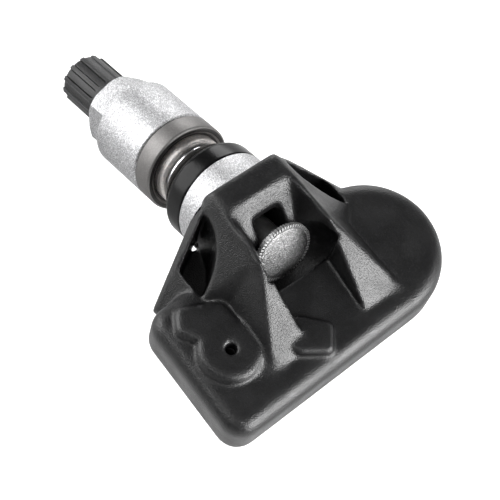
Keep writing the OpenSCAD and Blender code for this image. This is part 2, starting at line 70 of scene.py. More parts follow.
# Spans of a texture's value that the shader groups stretch to 0..1
SPARKLE_SPAN = (0.35, 0.85)
CLOUD_SPAN = (0.35, 0.65)
BREAK_SPAN = (0.2, 0.6)
RING_SPAN = (0.3, 0.7)
# Half the height of a thread's ridge, as a share of the pitch
RIDGE_SHARE = 0.48
# Longest cut that a rounding makes, as a share of the side
CUT_SHARE = 0.45

# A colour or a direction
Triple = tuple[float, float, float]
Profile = list[tuple[float, float]]
# Angle, radius and distance along the valve to the radius that is cut there
Relief = Callable[[float, float, float], float]


class Body(Enum):
    """The moving bodies of the frame that new pieces ride on."""

    VALVE = "valve"
    SENSOR = "sensor"
    WASHER = "washer"
    NUT = "nut"
    CAP = "cap"


# Shader groups and finishes


class NodeBoard:
    """A node tree with short calls for its sockets, nodes and links."""

    def __init__(self, tree: NodeTree) -> None:
        """Keeps the tree that the calls work on."""
        self.tree = tree

    def socket(self, label: str, kind: str, side: str = "INPUT") -> NodeTreeInterfaceSocket:
        """Adds a named socket to a group.

        Args:
            label: name of the socket.
            kind: its kind, such as "Float".
            side: "INPUT" or "OUTPUT".

        Returns:
            The socket.
        """
        return self.tree.interface.new_socket(label, in_out=side, socket_type=f"NodeSocket{kind}")

    def add(self, kind: str, inputs: dict | None = None, **settings: object) -> Node:
        """Adds a node.

        Args:
            kind: the node's type name.
            inputs: values or sockets for its inputs, by name or index.
            settings: attributes set on the node before its inputs.

        Returns:
            The new node.
        """
        node = self.tree.nodes.new(kind)
        for key, value in settings.items():
            setattr(node, key, value)
        self.feed(node, inputs or {})
        return node

    def feed(self, node: Node, inputs: dict) -> None:
        """Sets a node's inputs.

        Args:
            node: the node.
            inputs: values or sockets, by the input's name or index.
        """
        for key, value in inputs.items():
            if isinstance(value, NodeSocket):
                self.join(value, node.inputs[key])
            else:
                node.inputs[key].default_value = value

    def join(self, source: NodeSocket, target: NodeSocket) -> None:
        """Links one socket to another."""
        self.tree.links.new(source, target)

    def math(self, operation: str, *values: object) -> NodeSocket:
        """The result of a sum on two or three values or sockets."""
        return self.add("ShaderNodeMath", dict(enumerate(values)), operation=operation).outputs[0]

    def ramp(self, value: NodeSocket, low: object, high: object,
             to_low: float = 0.0, to_high: float = 1.0) -> NodeSocket:
        """Maps a value from one span to another.

        Args:
            value: the socket to map.
            low: start of the span that comes in, a value or a socket.
            high: its end.
            to_low: value given out at the start.
            to_high: value given out at the end.

        Returns:
            The mapped value's socket.
        """
        node = self.add("ShaderNodeMapRange", {0: value, 1: low, 2: high, 3: to_low, 4: to_high})
        return node.outputs[0]


def new_material(name: str) -> tuple[Material, NodeBoard, Node]:
    """Starts a material.

    Args:
        name: name of the material.

    Returns:
        The material, a board to wire it on, and its Principled shader.
    """
    made = bpy.data.materials.new(name)
    made.use_nodes = True
    return made, NodeBoard(made.node_tree), made.node_tree.nodes["Principled BSDF"]


class ShaderGroup(NodeBoard):
    """A shader group that takes a place and some values, and gives out values."""

    def __init__(self, name: str, inputs: dict[str, float], outputs: list[str]) -> None:
        """Starts the group with its sockets.

        Args:
            name: name of the group.
            inputs: names and defaults of the values that it takes, after the place.
            outputs: names of the values that it gives out.
        """
        super().__init__(bpy.data.node_groups.new(name, "ShaderNodeTree"))
        self.socket("Vector", "Vector")
        for label, default in inputs.items():
            self.socket(label, "Float").default_value = default
        for label in outputs:
            self.socket(label, "Float", "OUTPUT")
        self.enter = self.add("NodeGroupInput").outputs


def grain_group() -> NodeTree:
    """Fine grain of a moulded, blasted or cast skin.

    Returns:
        A group that gives out a bump height, a sparkle mask and a slow cloud over the surface.
    """
    group = ShaderGroup("Skin grain", {"Grains per metre": 6000.0},
                        ["Height", "Sparkle", "Cloud"])
    place, scale = group.enter["Vector"], group.enter["Grains per metre"]
    fine = group.add("ShaderNodeTexNoise", {"Vector": place, "Scale": scale, "Detail": 2.0,
                                            "Roughness": 0.55})
    cells = group.add("ShaderNodeTexVoronoi", {"Vector": place, "Scale": scale})
    slow = group.add("ShaderNodeTexNoise", {"Vector": place, "Scale": CLOUD_SCALE, "Detail": 3.0})
    group.add("NodeGroupOutput", {
        "Height": group.math("ADD", fine.outputs["Fac"], cells.outputs["Distance"]),
        "Sparkle": group.ramp(cells.outputs["Color"], *SPARKLE_SPAN),
        "Cloud": group.ramp(slow.outputs["Fac"], *CLOUD_SPAN)})
    return group.tree


def edge_highlight_group() -> NodeTree:
    """Painted highlight along outer edges, lighter where a light would catch them.

    Returns:
        A group that gives out a mask that is high on convex edges, broken up by noise.
    """
    group = ShaderGroup("Edge polish", {"Edge start": 0.505, "Edge end": 0.56}, ["Mask"])
    shape = group.add("ShaderNodeNewGeometry")
    edge = group.ramp(shape.outputs["Pointiness"], group.enter["Edge start"],
                      group.enter["Edge end"])
    noise = group.add("ShaderNodeTexNoise", {"Vector": group.enter["Vector"],
                                             "Scale": BREAK_SCALE, "Detail": 3.0})
    gaps = group.ramp(noise.outputs["Fac"], *BREAK_SPAN)
    group.add("NodeGroupOutput", {"Mask": group.math("MULTIPLY", edge, gaps)})
    return group.tree


def turning_group() -> NodeTree:
    """Fine rings that a lathe tool leaves round the valve axis.

    Returns:
        A group that gives out a value and a height that change only along the axis.
    """
    group = ShaderGroup("Turning marks", {"Rings per metre": 9000.0}, ["Value", "Height"])
    along = group.add("ShaderNodeMapping", {"Vector": group.enter["Vector"],
                                            "Rotation": (-VALVE_TILT, 0.0, 0.0)})
    parts = group.add("ShaderNodeSeparateXYZ", {0: along.outputs[0]})
    only = group.add("ShaderNodeCombineXYZ", {"Z": parts.outputs["Z"]})
    rings = group.add("ShaderNodeTexNoise", {
        "Vector": only.outputs[0], "Scale": group.enter["Rings per metre"], "Detail": 2.0})
    group.add("NodeGroupOutput", {"Value": group.ramp(rings.outputs["Fac"], *RING_SPAN),
                                  "Height": rings.outputs["Fac"]})
    return group.tree


class Effects:
    """The shader groups that several finishes share, built once."""

    def __init__(self) -> None:
        """Builds the groups."""
        self.grain = grain_group()
        # Painted highlight along convex edges
        self.edge = edge_highlight_group()
        self.turning = turning_group()


@dataclass(frozen=True)
class Finish:
    """A surface finish: one colour with grain, slow clouding and a painted highlight on convex
    edges.

    Attributes:
        name: name of the material and of the record's slot.
        colour: base colour, linear.
        second: colour that the sparkle and clouds lean to.
        roughness: middle roughness.
        metallic: 1 for bare metal.
        grains: grains per metre of the skin.
        bump: depth of the grain in metres.
        sparkle: how much the grain changes the colour.
        edge_highlight: how much edges lighten, as painted highlight.
        rings: rings per metre of turning marks, or 0 for none.
        specular: specular level of the shader.
        ROUGH_SPREAD: how far the clouds move the roughness each way.
        EDGE_HIGHLIGHT_TINT: pale colour that edges lean to, as painted highlight.
        RING_HEIGHT: height of the turning marks against the grain's.
        RING_ROUGH: how much the turning marks add to the roughness.
    """

    name: str
    colour: Triple
    second: Triple
    roughness: float
    metallic: float = 0.0
    grains: float = 6000.0
    bump: float = 0.00001
    sparkle: float = 0.5
    edge_highlight: float = 0.0
    rings: float = 0.0
    specular: float = 0.5
    ROUGH_SPREAD: ClassVar[float] = 0.05
    EDGE_HIGHLIGHT_TINT: ClassVar[tuple[float, ...]] = (0.42, 0.42, 0.43, 1.0)
    RING_HEIGHT: ClassVar[float] = 1.6
    RING_ROUGH: ClassVar[float] = 0.08

    def material(self, effects: Effects) -> Material:
        """Wires the material.

        Args:
            effects: the shared shader groups.

        Returns:
            The finished material.
        """
        made, board, shader = new_material(self.name)
        made.diffuse_color = (*self.colour, 1.0)
        place = board.add("ShaderNodeTexCoord").outputs["Object"]
        grain = board.add("ShaderNodeGroup", {"Vector": place, "Grains per metre": self.grains},
                          node_tree=effects.grain)
        share = board.ramp(grain.outputs["Sparkle"], 0.0, 1.0, 0.0, self.sparkle)
        colour = board.add("ShaderNodeMix", {"Factor": share, 6: (*self.colour, 1.0),
                                             7: (*self.second, 1.0)}, data_type="RGBA").outputs[2]
        rough = board.ramp(grain.outputs["Cloud"], 0.0, 1.0, self.roughness - self.ROUGH_SPREAD,
                           self.roughness + self.ROUGH_SPREAD)
        # Painted highlight: convex edges lean to a pale grey
        if self.edge_highlight:
            edge = board.add("ShaderNodeGroup", {"Vector": place}, node_tree=effects.edge)
            highlight_amount = board.ramp(edge.outputs["Mask"], 0.0, 1.0, 0.0, self.edge_highlight)
            colour = board.add("ShaderNodeMix", {"Factor": highlight_amount, 6: colour, 7: self.EDGE_HIGHLIGHT_TINT},
                               data_type="RGBA").outputs[2]
        height = grain.outputs["Height"]
        if self.rings:
            turned = board.add("ShaderNodeGroup", {"Vector": place, "Rings per metre": self.rings},
                               node_tree=effects.turning)
            height = board.math("MULTIPLY_ADD", turned.outputs["Height"], self.RING_HEIGHT, height)
            rough = board.math("MULTIPLY_ADD", turned.outputs["Value"], self.RING_ROUGH, rough)
        bump = board.add("ShaderNodeBump", {"Height": height, "Distance": self.bump})
        board.feed(shader, {
            "Metallic": self.metallic, "Specular IOR Level": self.specular, "Base Color": colour,
            "Roughness": rough, "Normal": bump.outputs[0]})
        return made


@dataclass(frozen=True)
class BoardFinish:
    """Solder-masked circuit board with a woven core and faint tracks.

    Attributes:
        name: name of the material.
        mask: colour of the solder mask.
        track: colour over a copper track.
        roughness: roughness of the mask.
        bricks: rows of tracks per metre.
        weave: grains per metre of the woven core.
        bump: depth of the weave in metres.
    """

    name: str = "board_green"
    mask: Triple = (0.012, 0.11, 0.045)
    track: Triple = (0.03, 0.22, 0.09)
    roughness: float = 0.3
    bricks: float = 380.0
    weave: float = 2500.0
    bump: float = 0.000006

    def material(self, effects: Effects) -> Material:
        """Wires the material.

        Args:
            effects: the shared shader groups.

        Returns:
            The finished material.
        """
        made, board, shader = new_material(self.name)
        place = board.add("ShaderNodeTexCoord").outputs["Object"]
        tracks = board.add("ShaderNodeTexBrick", {
            "Vector": place, "Scale": self.bricks, "Mortar Size": 0.05, "Mortar Smooth": 0.2,
            "Color1": (*self.mask, 1.0), "Color2": (*self.mask, 1.0),
            "Mortar": (*self.track, 1.0)})
        grain = board.add("ShaderNodeGroup", {"Vector": place, "Grains per metre": self.weave},
                          node_tree=effects.grain)
        bump = board.add("ShaderNodeBump", {"Height": grain.outputs["Height"],
                                            "Distance": self.bump})
        board.feed(shader, {"Base Color": tracks.outputs["Color"], "Roughness": self.roughness,
                            "Normal": bump.outputs[0]})
        return made


class Finishes:
    """Every finish of the sensor, as materials by slot name."""

    RECIPES: tuple[Finish | BoardFinish, ...] = (
        Finish("housing_plastic", (0.003, 0.003, 0.0032), (0.012, 0.012, 0.013), 0.35,
               grains=4700, bump=0.000042, edge_highlight=0.06, specular=0.6),
        Finish("cover_plastic", (0.012, 0.012, 0.013), (0.03, 0.03, 0.032), 0.5, grains=4000,
               bump=0.00002),
        Finish("cell_steel", (0.56, 0.56, 0.55), (0.7, 0.7, 0.69), 0.26, metallic=1.0,
               grains=3000, bump=0.000004),
        Finish("tab_nickel", (0.62, 0.58, 0.5), (0.72, 0.68, 0.6), 0.3, metallic=1.0,
               grains=4000, bump=0.000004),
        Finish("chip_black", (0.012, 0.012, 0.013), (0.04, 0.04, 0.04), 0.45, grains=9000,
               bump=0.000008),
        Finish("seal_rubber", (0.03, 0.03, 0.032), (0.05, 0.05, 0.052), 0.6, grains=5000),
        Finish("ferrite", (0.06, 0.04, 0.032), (0.35, 0.14, 0.05), 0.5, grains=7000),
        Finish("crystal_can", (0.68, 0.68, 0.66), (0.76, 0.76, 0.74), 0.22, metallic=1.0,
               grains=3000, bump=0.000003),
        Finish("ceramic", (0.42, 0.3, 0.18), (0.55, 0.42, 0.28), 0.4, grains=9000,
               bump=0.000006),
        Finish("antenna_metal", (0.62, 0.55, 0.42), (0.72, 0.66, 0.52), 0.3, metallic=1.0,
               grains=4000, bump=0.000004),
        Finish("valve_aluminium", (0.36, 0.36, 0.37), (0.84, 0.84, 0.85), 0.4, metallic=1.0,
               grains=7600, bump=0.000032, sparkle=1.0),
        Finish("grommet_rubber", (0.004, 0.004, 0.0042), (0.008, 0.008, 0.008), 0.2,
               grains=2600, bump=0.000008, specular=0.2),
        Finish("bolt_metal", (0.12, 0.12, 0.12), (0.33, 0.33, 0.33), 0.42, metallic=1.0,
               grains=6600, bump=0.000045, sparkle=1.0),
        Finish("core_brass", (0.7, 0.5, 0.2), (0.78, 0.6, 0.3), 0.3, metallic=1.0, grains=5000,
               bump=0.000004, rings=9000),
        Finish("gasket_white", (0.8, 0.8, 0.76), (0.86, 0.86, 0.83), 0.4, grains=4000,
               bump=0.000006),
        Finish("spring_steel", (0.5, 0.5, 0.5), (0.62, 0.62, 0.62), 0.28, metallic=1.0,
               grains=5000, bump=0.000003),
        Finish("washer_anodised", (0.21, 0.204, 0.2), (0.28, 0.272, 0.266), 0.46,
               metallic=1.0, grains=5200, bump=0.000008, rings=6500),
        # Darker copy of the washer's finish for its end face: painted shade
        Finish("washer_end_painted_shade", (0.04, 0.039, 0.038), (0.06, 0.058, 0.056), 0.36, metallic=1.0,
               grains=5200, bump=0.000008, rings=6500),
        # Lighter copy of the bolt's steel for its serrated rim: painted light where the housing
        # keeps the lamps off it
        Finish("rim_steel_painted_light", (0.5, 0.5, 0.5), (0.62, 0.62, 0.62), 0.5, metallic=1.0,
               grains=5200, sparkle=0.6),
        Finish("ring_grit", (0.55, 0.54, 0.53), (0.76, 0.7, 0.66), 0.42, metallic=0.9,
               grains=3600, bump=0.00005, sparkle=0.8),
        Finish("cap_plastic", (0.01, 0.01, 0.0105), (0.035, 0.035, 0.036), 0.38, grains=5200,
               bump=0.000035, edge_highlight=0.2),
        Finish("polished_lip", (0.78, 0.78, 0.79), (0.84, 0.84, 0.85), 0.16, metallic=1.0,
               grains=4000, bump=0.000002, rings=12000),
        Finish("shank_steel", (0.74, 0.74, 0.74), (0.8, 0.8, 0.8), 0.42, metallic=1.0,
               grains=4000, bump=0.000002, rings=8000),
        BoardFinish(),
    )

    def __init__(self) -> None:
        """Builds all materials."""
        effects = Effects()
        self.by_name = {recipe.name: recipe.material(effects) for recipe in self.RECIPES}

    def __getitem__(self, name: str) -> Material:
        """The material of that name."""
        return self.by_name[name]


# Mesh helpers


def link_new(name: str, data: ID) -> Object:
    """Puts a mesh, light or camera into the scene as a new object at the origin.

    Args:
        name: name of the object.
        data: its data.

    Returns:
        The object.
    """
    made = bpy.data.objects.new(name, data)
    bpy.context.scene.collection.objects.link(made)
    return made


@contextmanager
def editing(mesh: Mesh) -> Iterator[bmesh.types.BMesh]:
    """Opens a mesh for editing and writes the changes back at the end."""
    work = bmesh.new()
    work.from_mesh(mesh)
    yield work
    work.to_mesh(mesh)
    work.free()


def valve_place(point: Vector) -> tuple[float, Vector]:
    """Where a point lies against the valve axis.

    Args:
        point: the point, in metres.

    Returns:
        Its distance along the valve in millimetres, and its offset from the axis in metres.
    """
    station = point.dot(VALVE_AXIS)
    return station / MM, point - VALVE_AXIS * station


def dress(piece: Object, *materials: Material) -> None:
    """Gives a piece these materials and no others.

    Args:
        piece: the piece.
        materials: its materials, in the order of the slots.
    """
    piece.data.materials.clear()
    for material in materials:
        piece.data.materials.append(material)


def merged_mesh(node: str, name: str) -> Mesh:
    """A joined-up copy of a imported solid's loose triangles.

    Args:
        node: name of the solid.
        name: name of the new mesh.

    Returns:
        The copy, with no custom normals.
    """
    mesh = bpy.data.meshes.new(name)
    with editing(mesh) as work:
        work.from_mesh(frame["nodes"][node].data)
        bmesh.ops.remove_doubles(work, verts=work.verts, dist=2e-6)
        bmesh.ops.dissolve_degenerate(work, edges=work.edges, dist=1e-7)
    for extra in ("custom_normal", "sharp_face", "sharp_edge"):
        if extra in mesh.attributes:
            mesh.attributes.remove(mesh.attributes[extra])
    return mesh


def soften(mesh: Mesh, angle: float = 32.0) -> None:
    """Shades a mesh smooth and keeps its sharp edges.

    Args:
        mesh: the mesh to shade.
        angle: edges that bend more than this many degrees stay sharp.
    """
    limit = math.radians(angle)
    with editing(mesh) as work:
        for face in work.faces:
            face.smooth = True
        for edge in work.edges:
            edge.smooth = len(edge.link_faces) == 2 and edge.calc_face_angle(math.pi) < limit


def baked(source: Object, name: str) -> Object:
    """Turns an object with modifiers into a plain one.

    Args:
        source: the object, which is removed.
        name: name of the plain object.

    Returns:
        The plain object.
    """
    view = bpy.context.evaluated_depsgraph_get()
    mesh = bpy.data.meshes.new_from_object(source.evaluated_get(view))
    mesh.name = name
    old = source.data
    bpy.data.objects.remove(source)
    bpy.data.meshes.remove(old)
    return link_new(name, mesh)


def as_turned(angle: float, radius: float, station: float) -> float:
    """The relief of a plain turned piece: the radius stays as it is."""
    return radius


def lathe(name: str, profile: Profile, turns: int = 160,
          relief: Relief = as_turned) -> Object:
    """Turns a closed section round the valve axis.

    Args:
        name: name of the piece.
        profile: radius and distance along the valve, in millimetres, as a closed loop.
        turns: number of steps round the axis.
        relief: changes the radius by angle and place.

    Returns:
        The turned piece with outward faces.
    """
    mesh = bpy.data.meshes.new(name)
    count = len(profile)
    with editing(mesh) as work:
        rings = []
        for step in range(turns):
            angle = 2 * math.pi * step / turns
            cut = [(relief(angle, r, s) * MM, s * MM) for r, s in profile]
            rings.append([work.verts.new((r * math.cos(angle), r * math.sin(angle), s))
                          for r, s in cut])
        for here, there in zip(rings, rings[1:] + rings[:1]):
            for k in range(count):
                after = (k + 1) % count
                work.faces.new((here[k], there[k], there[after], here[after]))
        bmesh.ops.remove_doubles(work, verts=work.verts, dist=1e-7)
        bmesh.ops.dissolve_degenerate(work, edges=work.edges, dist=1e-8)
        bmesh.ops.recalc_face_normals(work, faces=work.faces)
    mesh.transform(VALVE_TURN)
    return link_new(name, mesh)


def rounded(profile: Profile, radius: float, steps: int = 6) -> Profile:
    """Rounds every corner of a closed section.

    Args:
        profile: corners of the section.
        radius: longest cut along each side of a corner, in millimetres.
        steps: number of steps on each rounding.

    Returns:
        The rounded section.
    """
    out: Profile = []
    count = len(profile)
    for k in range(count):
        before, here, after = (Vector(profile[(k + d) % count]) for d in (-1, 0, 1))
        cut_in, cut_out = (min(radius, (end - here).length * CUT_SHARE) for end in (before, after))
        first = here + (before - here).normalized() * cut_in
        last = here + (after - here).normalized() * cut_out
        for step in range(steps + 1):
            t = step / steps
            point = first * (1 - t) ** 2 + here * 2 * t * (1 - t) + last * t ** 2
            out.append((point.x, point.y))
    return out


def settle(piece: Object, body: Body, node: str) -> None:
    """Makes a finished piece part of the object.

    Args:
        piece: the piece, in place.
        body: the body that it rides on.
        node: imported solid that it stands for.
    """
    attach(piece, body.value)
    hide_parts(node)
    LOG.info("%s: %d faces, rides on %s", piece.name, len(piece.data.polygons), body.value)


# Geometry Nodes


class PatternTree(NodeBoard):
    """A Geometry Nodes tree with named inputs that ends in Realize Instances and Set Material."""

    def __init__(self, name: str, inputs: dict[str, int | float]) -> None:
        """Starts the tree.

        Args:
            name: name of the tree.
            inputs: names and defaults of its inputs, as whole numbers or decimals.
        """
        super().__init__(bpy.data.node_groups.new(name, "GeometryNodeTree"))
        self.socket("Geometry", "Geometry")
        for label, default in inputs.items():
            kind = "Int" if isinstance(default, int) else "Float"
            self.socket(label, kind).default_value = default
        self.socket("Material", "Material")
        self.socket("Geometry", "Geometry", "OUTPUT")
        self.enter = self.add("NodeGroupInput").outputs

    def close(self, pattern: Node, station: str) -> None:
        """Stands the pattern on the valve axis, adds it to what came in, and ends the tree.

        Args:
            pattern: the node that gives the pattern, built round local +Z.
            station: name of the input that says where it stands along the valve.
        """
        shift = self.add("ShaderNodeCombineXYZ", {"Z": self.enter[station]})
        placed = self.add("GeometryNodeTransform", {"Geometry": pattern.outputs[0],
                                                    "Translation": shift.outputs[0]})
        turned = self.add("GeometryNodeTransform", {"Geometry": placed.outputs[0],
                                                    "Rotation": (VALVE_TILT, 0.0, 0.0)})
        both = self.add("GeometryNodeJoinGeometry", {0: turned.outputs[0]})
        self.join(self.enter["Geometry"], both.inputs[0])
        real = self.add("GeometryNodeRealizeInstances", {0: both.outputs[0]})
        dressed = self.add("GeometryNodeSetMaterial", {"Geometry": real.outputs[0],
                                                       "Material": self.enter["Material"]})
        self.add("NodeGroupOutput", {0: dressed.outputs[0]})

    def apply(self, piece: Object, values: dict[str, object]) -> None:
        """Adds the tree to a piece as a modifier.

        Args:
            piece: the piece that the pattern is added to.
            values: modifier inputs by socket name.
        """
        modifier = piece.modifiers.new(self.tree.name, "NODES")
        modifier.node_group = self.tree
        for item in self.tree.interface.items_tree:
            if item.in_out == "INPUT" and item.name in values:
                modifier[item.identifier] = values[item.name]


def thread_tree() -> PatternTree:
    """A screw thread: a pointed section swept along a helix on the valve axis.

    Returns:
        The tree, with inputs for start, length, pitch and root radius.
    """
    made = PatternTree("Screw thread", {"Start": 0.0, "Length": 0.01, "Pitch": 0.001,
                                        "Root radius": 0.005})
    length, pitch, radius = (made.enter[key] for key in ("Length", "Pitch", "Root radius"))
    helix = made.add("GeometryNodeCurveSpiral", {
        "Resolution": 40, "Rotations": made.math("DIVIDE", length, pitch),
        "Start Radius": radius, "End Radius": radius, "Height": length})
    upright = made.add("GeometryNodeSetCurveNormal", {"Curve": helix.outputs[0]}, mode="Z_UP")
    section = made.add("GeometryNodeCurvePrimitiveCircle", {
        "Resolution": 4, "Radius": made.math("MULTIPLY", pitch, RIDGE_SHARE)})
    made.close(made.add("GeometryNodeCurveToMesh", {
        "Curve": upright.outputs[0], "Profile Curve": section.outputs[0], "Fill Caps": True}),
        "Start")
    return made


def ring_tree() -> PatternTree:
    """Small blocks that stand evenly on a circle round the valve axis.

    Returns:
        The tree, with inputs for count, radius, station and the block's size.
    """
    made = PatternTree("Ring of blocks", {"Count": 48, "Radius": 0.005, "Station": 0.0,
                                          "Width": 0.0003, "Depth": 0.0003, "Length": 0.0005})
    circle = made.add("GeometryNodeMeshCircle", {"Vertices": made.enter["Count"],
                                                 "Radius": made.enter["Radius"]})
    spot = made.add("GeometryNodeInputPosition")
    parts = made.add("ShaderNodeSeparateXYZ", {0: spot.outputs[0]})
    turn = made.add("ShaderNodeCombineXYZ", {
        "Z": made.math("ARCTAN2", parts.outputs["Y"], parts.outputs["X"])})
    size = made.add("ShaderNodeCombineXYZ", {
        "X": made.enter["Depth"], "Y": made.enter["Width"], "Z": made.enter["Length"]})
    block = made.add("GeometryNodeMeshCube", {"Size": size.outputs[0]})
    made.close(made.add("GeometryNodeInstanceOnPoints", {
        "Points": circle.outputs[0], "Instance": block.outputs[0], "Rotation": turn.outputs[0]}),
        "Station")
    return made


# Sub-assemblies


@dataclass
class MouldedHousing:
    """The black housing, with every moulded edge rounded.

    Attributes:
        voxel: size of the skin's cells in millimetres.
        pull: how far one smoothing pass moves a point towards its neighbours.
        evening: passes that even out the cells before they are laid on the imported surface.
        rounds: passes that round the edges.
        blends: passes that round the soft corners further.
        soft_corners: place of each soft corner on the right side and the reach of its blend, in
            millimetres. The left side has the same ones.
    """

    voxel: float = 0.285
    pull: float = 0.5
    evening: int = 6
    rounds: int = 20
    blends: int = 80
    soft_corners: tuple[tuple[float, ...], ...] = (
        (6.6, -6.4, 14.5, 5.0), (6.95, -15.9, 14.5, 3.6), (13.4, -30.0, 4.8, 3.4))

    def smooth(self, piece: Object, passes: int, group: str = "") -> None:
        """Adds a smoothing modifier.

        Args:
            piece: the piece to smooth.
            passes: number of passes.
            group: vertex group that limits it, if any.
        """
        modifier = piece.modifiers.new("smooth", "SMOOTH")
        modifier.factor = self.pull
        modifier.iterations = passes
        modifier.vertex_group = group

    def blend(self, skin: Object) -> None:
        """Rounds the soft corners of the frame over the bolt further.

        Args:
            skin: the rounded housing.
        """
        group = skin.vertex_groups.new(name="soft corners")
        for x, y, z, reach in self.soft_corners:
            for side in (-x, x):
                corner = Vector((side, y, z)) * MM
                for vert in skin.data.vertices:
                    share = 1 - (vert.co - corner).length / (reach * MM)
                    if share > 0:
                        # Full strength up to half the reach
                        group.add([vert.index], min(1.0, 2 * share), "REPLACE")
        self.smooth(skin, self.blends, group.name)

    def build(self, finishes: Finishes) -> None:
        """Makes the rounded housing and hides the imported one.

        Args:
            finishes: the materials.
        """
        guide = link_new("housing_guide", merged_mesh("housing", "housing_guide"))
        shell = link_new("housing_shell", guide.data.copy())
        cells = shell.modifiers.new("cells", "REMESH")
        cells.mode = "VOXEL"
        cells.voxel_size = self.voxel * MM
        self.smooth(shell, self.evening)
        snug = shell.modifiers.new("snug", "SHRINKWRAP")
        snug.target = guide
        snug.wrap_method = "NEAREST_SURFACEPOINT"
        self.smooth(shell, self.rounds)
        skin = baked(shell, "housing_skin")
        bpy.data.meshes.remove(guide.data)
        self.blend(skin)
        piece = baked(skin, "moulded_housing")
        for polygon in piece.data.polygons:
            polygon.use_smooth = True
        dress(piece, finishes["housing_plastic"])
        settle(piece, Body.SENSOR, "housing")


@dataclass(frozen=True)
class ScrewThread:
    """One thread of the valve, in millimetres.

    Attributes:
        outer: outer radius.
        start: where it starts along the valve.
        end: where it ends.
        pitch: rise per turn.
    """

    outer: float
    start: float
    end: float
    pitch: float


@dataclass
class ThreadedStem:
    """The turned valve body with its real threads.

    Attributes:
        threads: the main thread and the cap thread.
        lip_span: start and end of the polished lip.
        root_share: depth of the cut below a ridge, as a share of the pitch.
        skin: how near to the outer radius a point of the thread lies.
        run_out: how far past a thread's ends its points are still cut.
    """

    threads: tuple[ScrewThread, ...] = (ScrewThread(5.2, 8.2, 25.1, 0.75),
                                        ScrewThread(3.85, 30.4, 39.85, 0.79375))
    lip_span: tuple[float, float] = (6.8, 7.95)
    root_share: float = 0.46
    skin: float = 0.06
    run_out: float = 0.1

    def build(self, finishes: Finishes) -> None:
        """Cuts the thread roots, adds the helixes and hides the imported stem.

        Args:
            finishes: the materials.
        """
        mesh = merged_mesh("valve_stem", "stem")
        for vert in mesh.vertices:
            s, off = valve_place(vert.co)
            for cut in self.threads:
                along = cut.start - self.run_out < s < cut.end + self.run_out
                if along and abs(off.length / MM - cut.outer) < self.skin:
                    vert.co -= off * (cut.pitch * self.root_share / cut.outer)
        soften(mesh)
        stem = link_new("stem", mesh)
        helix = thread_tree()
        for cut in self.threads:
            helix.apply(stem, {"Start": (cut.start + cut.pitch * 0.5) * MM,
                               "Length": (cut.end - cut.start - cut.pitch) * MM,
                               "Pitch": cut.pitch * MM,
                               "Root radius": (cut.outer - cut.pitch * RIDGE_SHARE) * MM,
                               "Material": finishes["valve_aluminium"]})
        piece = baked(stem, "threaded_stem")
        polished = len(piece.data.materials)
        piece.data.materials.append(finishes["polished_lip"])
        for polygon in piece.data.polygons:
            if self.lip_span[0] < valve_place(polygon.center)[0] < self.lip_span[1]:
                polygon.material_index = polished
        settle(piece, Body.VALVE, "valve_stem")


@dataclass
class RubberGrommet:
    """The glossy rubber seal with its soft shoulder.

    Attributes:
        bore: radius of the hole round the neck.
        outer: radius of the straight side.
        back: where its back face stands along the valve.
        side: where the straight side ends.
        shoulder: drop and length of the first slope after the straight side.
        nose: radius of the front edge.
        length: where the front face stands.
        round_r: rounding of its edges.
    """

    bore: float = 5.6
    outer: float = 9.0
    back: float = 0.02
    side: float = 3.55
    shoulder: tuple[float, float] = (0.5, 0.62)
    nose: float = 6.8
    length: float = 6.85
    round_r: float = 0.45

    def build(self, finishes: Finishes) -> None:
        """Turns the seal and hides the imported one.

        Args:
            finishes: the materials.
        """
        drop, run = self.shoulder
        section = rounded([(self.bore, self.back), (self.outer, self.back),
                           (self.outer, self.side), (self.outer - drop, self.side + run),
                           (self.nose, self.length), (self.bore, self.length)], self.round_r)
        piece = lathe("rubber_grommet", section)
        soften(piece.data, angle=50)
        dress(piece, finishes["grommet_rubber"])
        settle(piece, Body.VALVE, "rim_grommet")


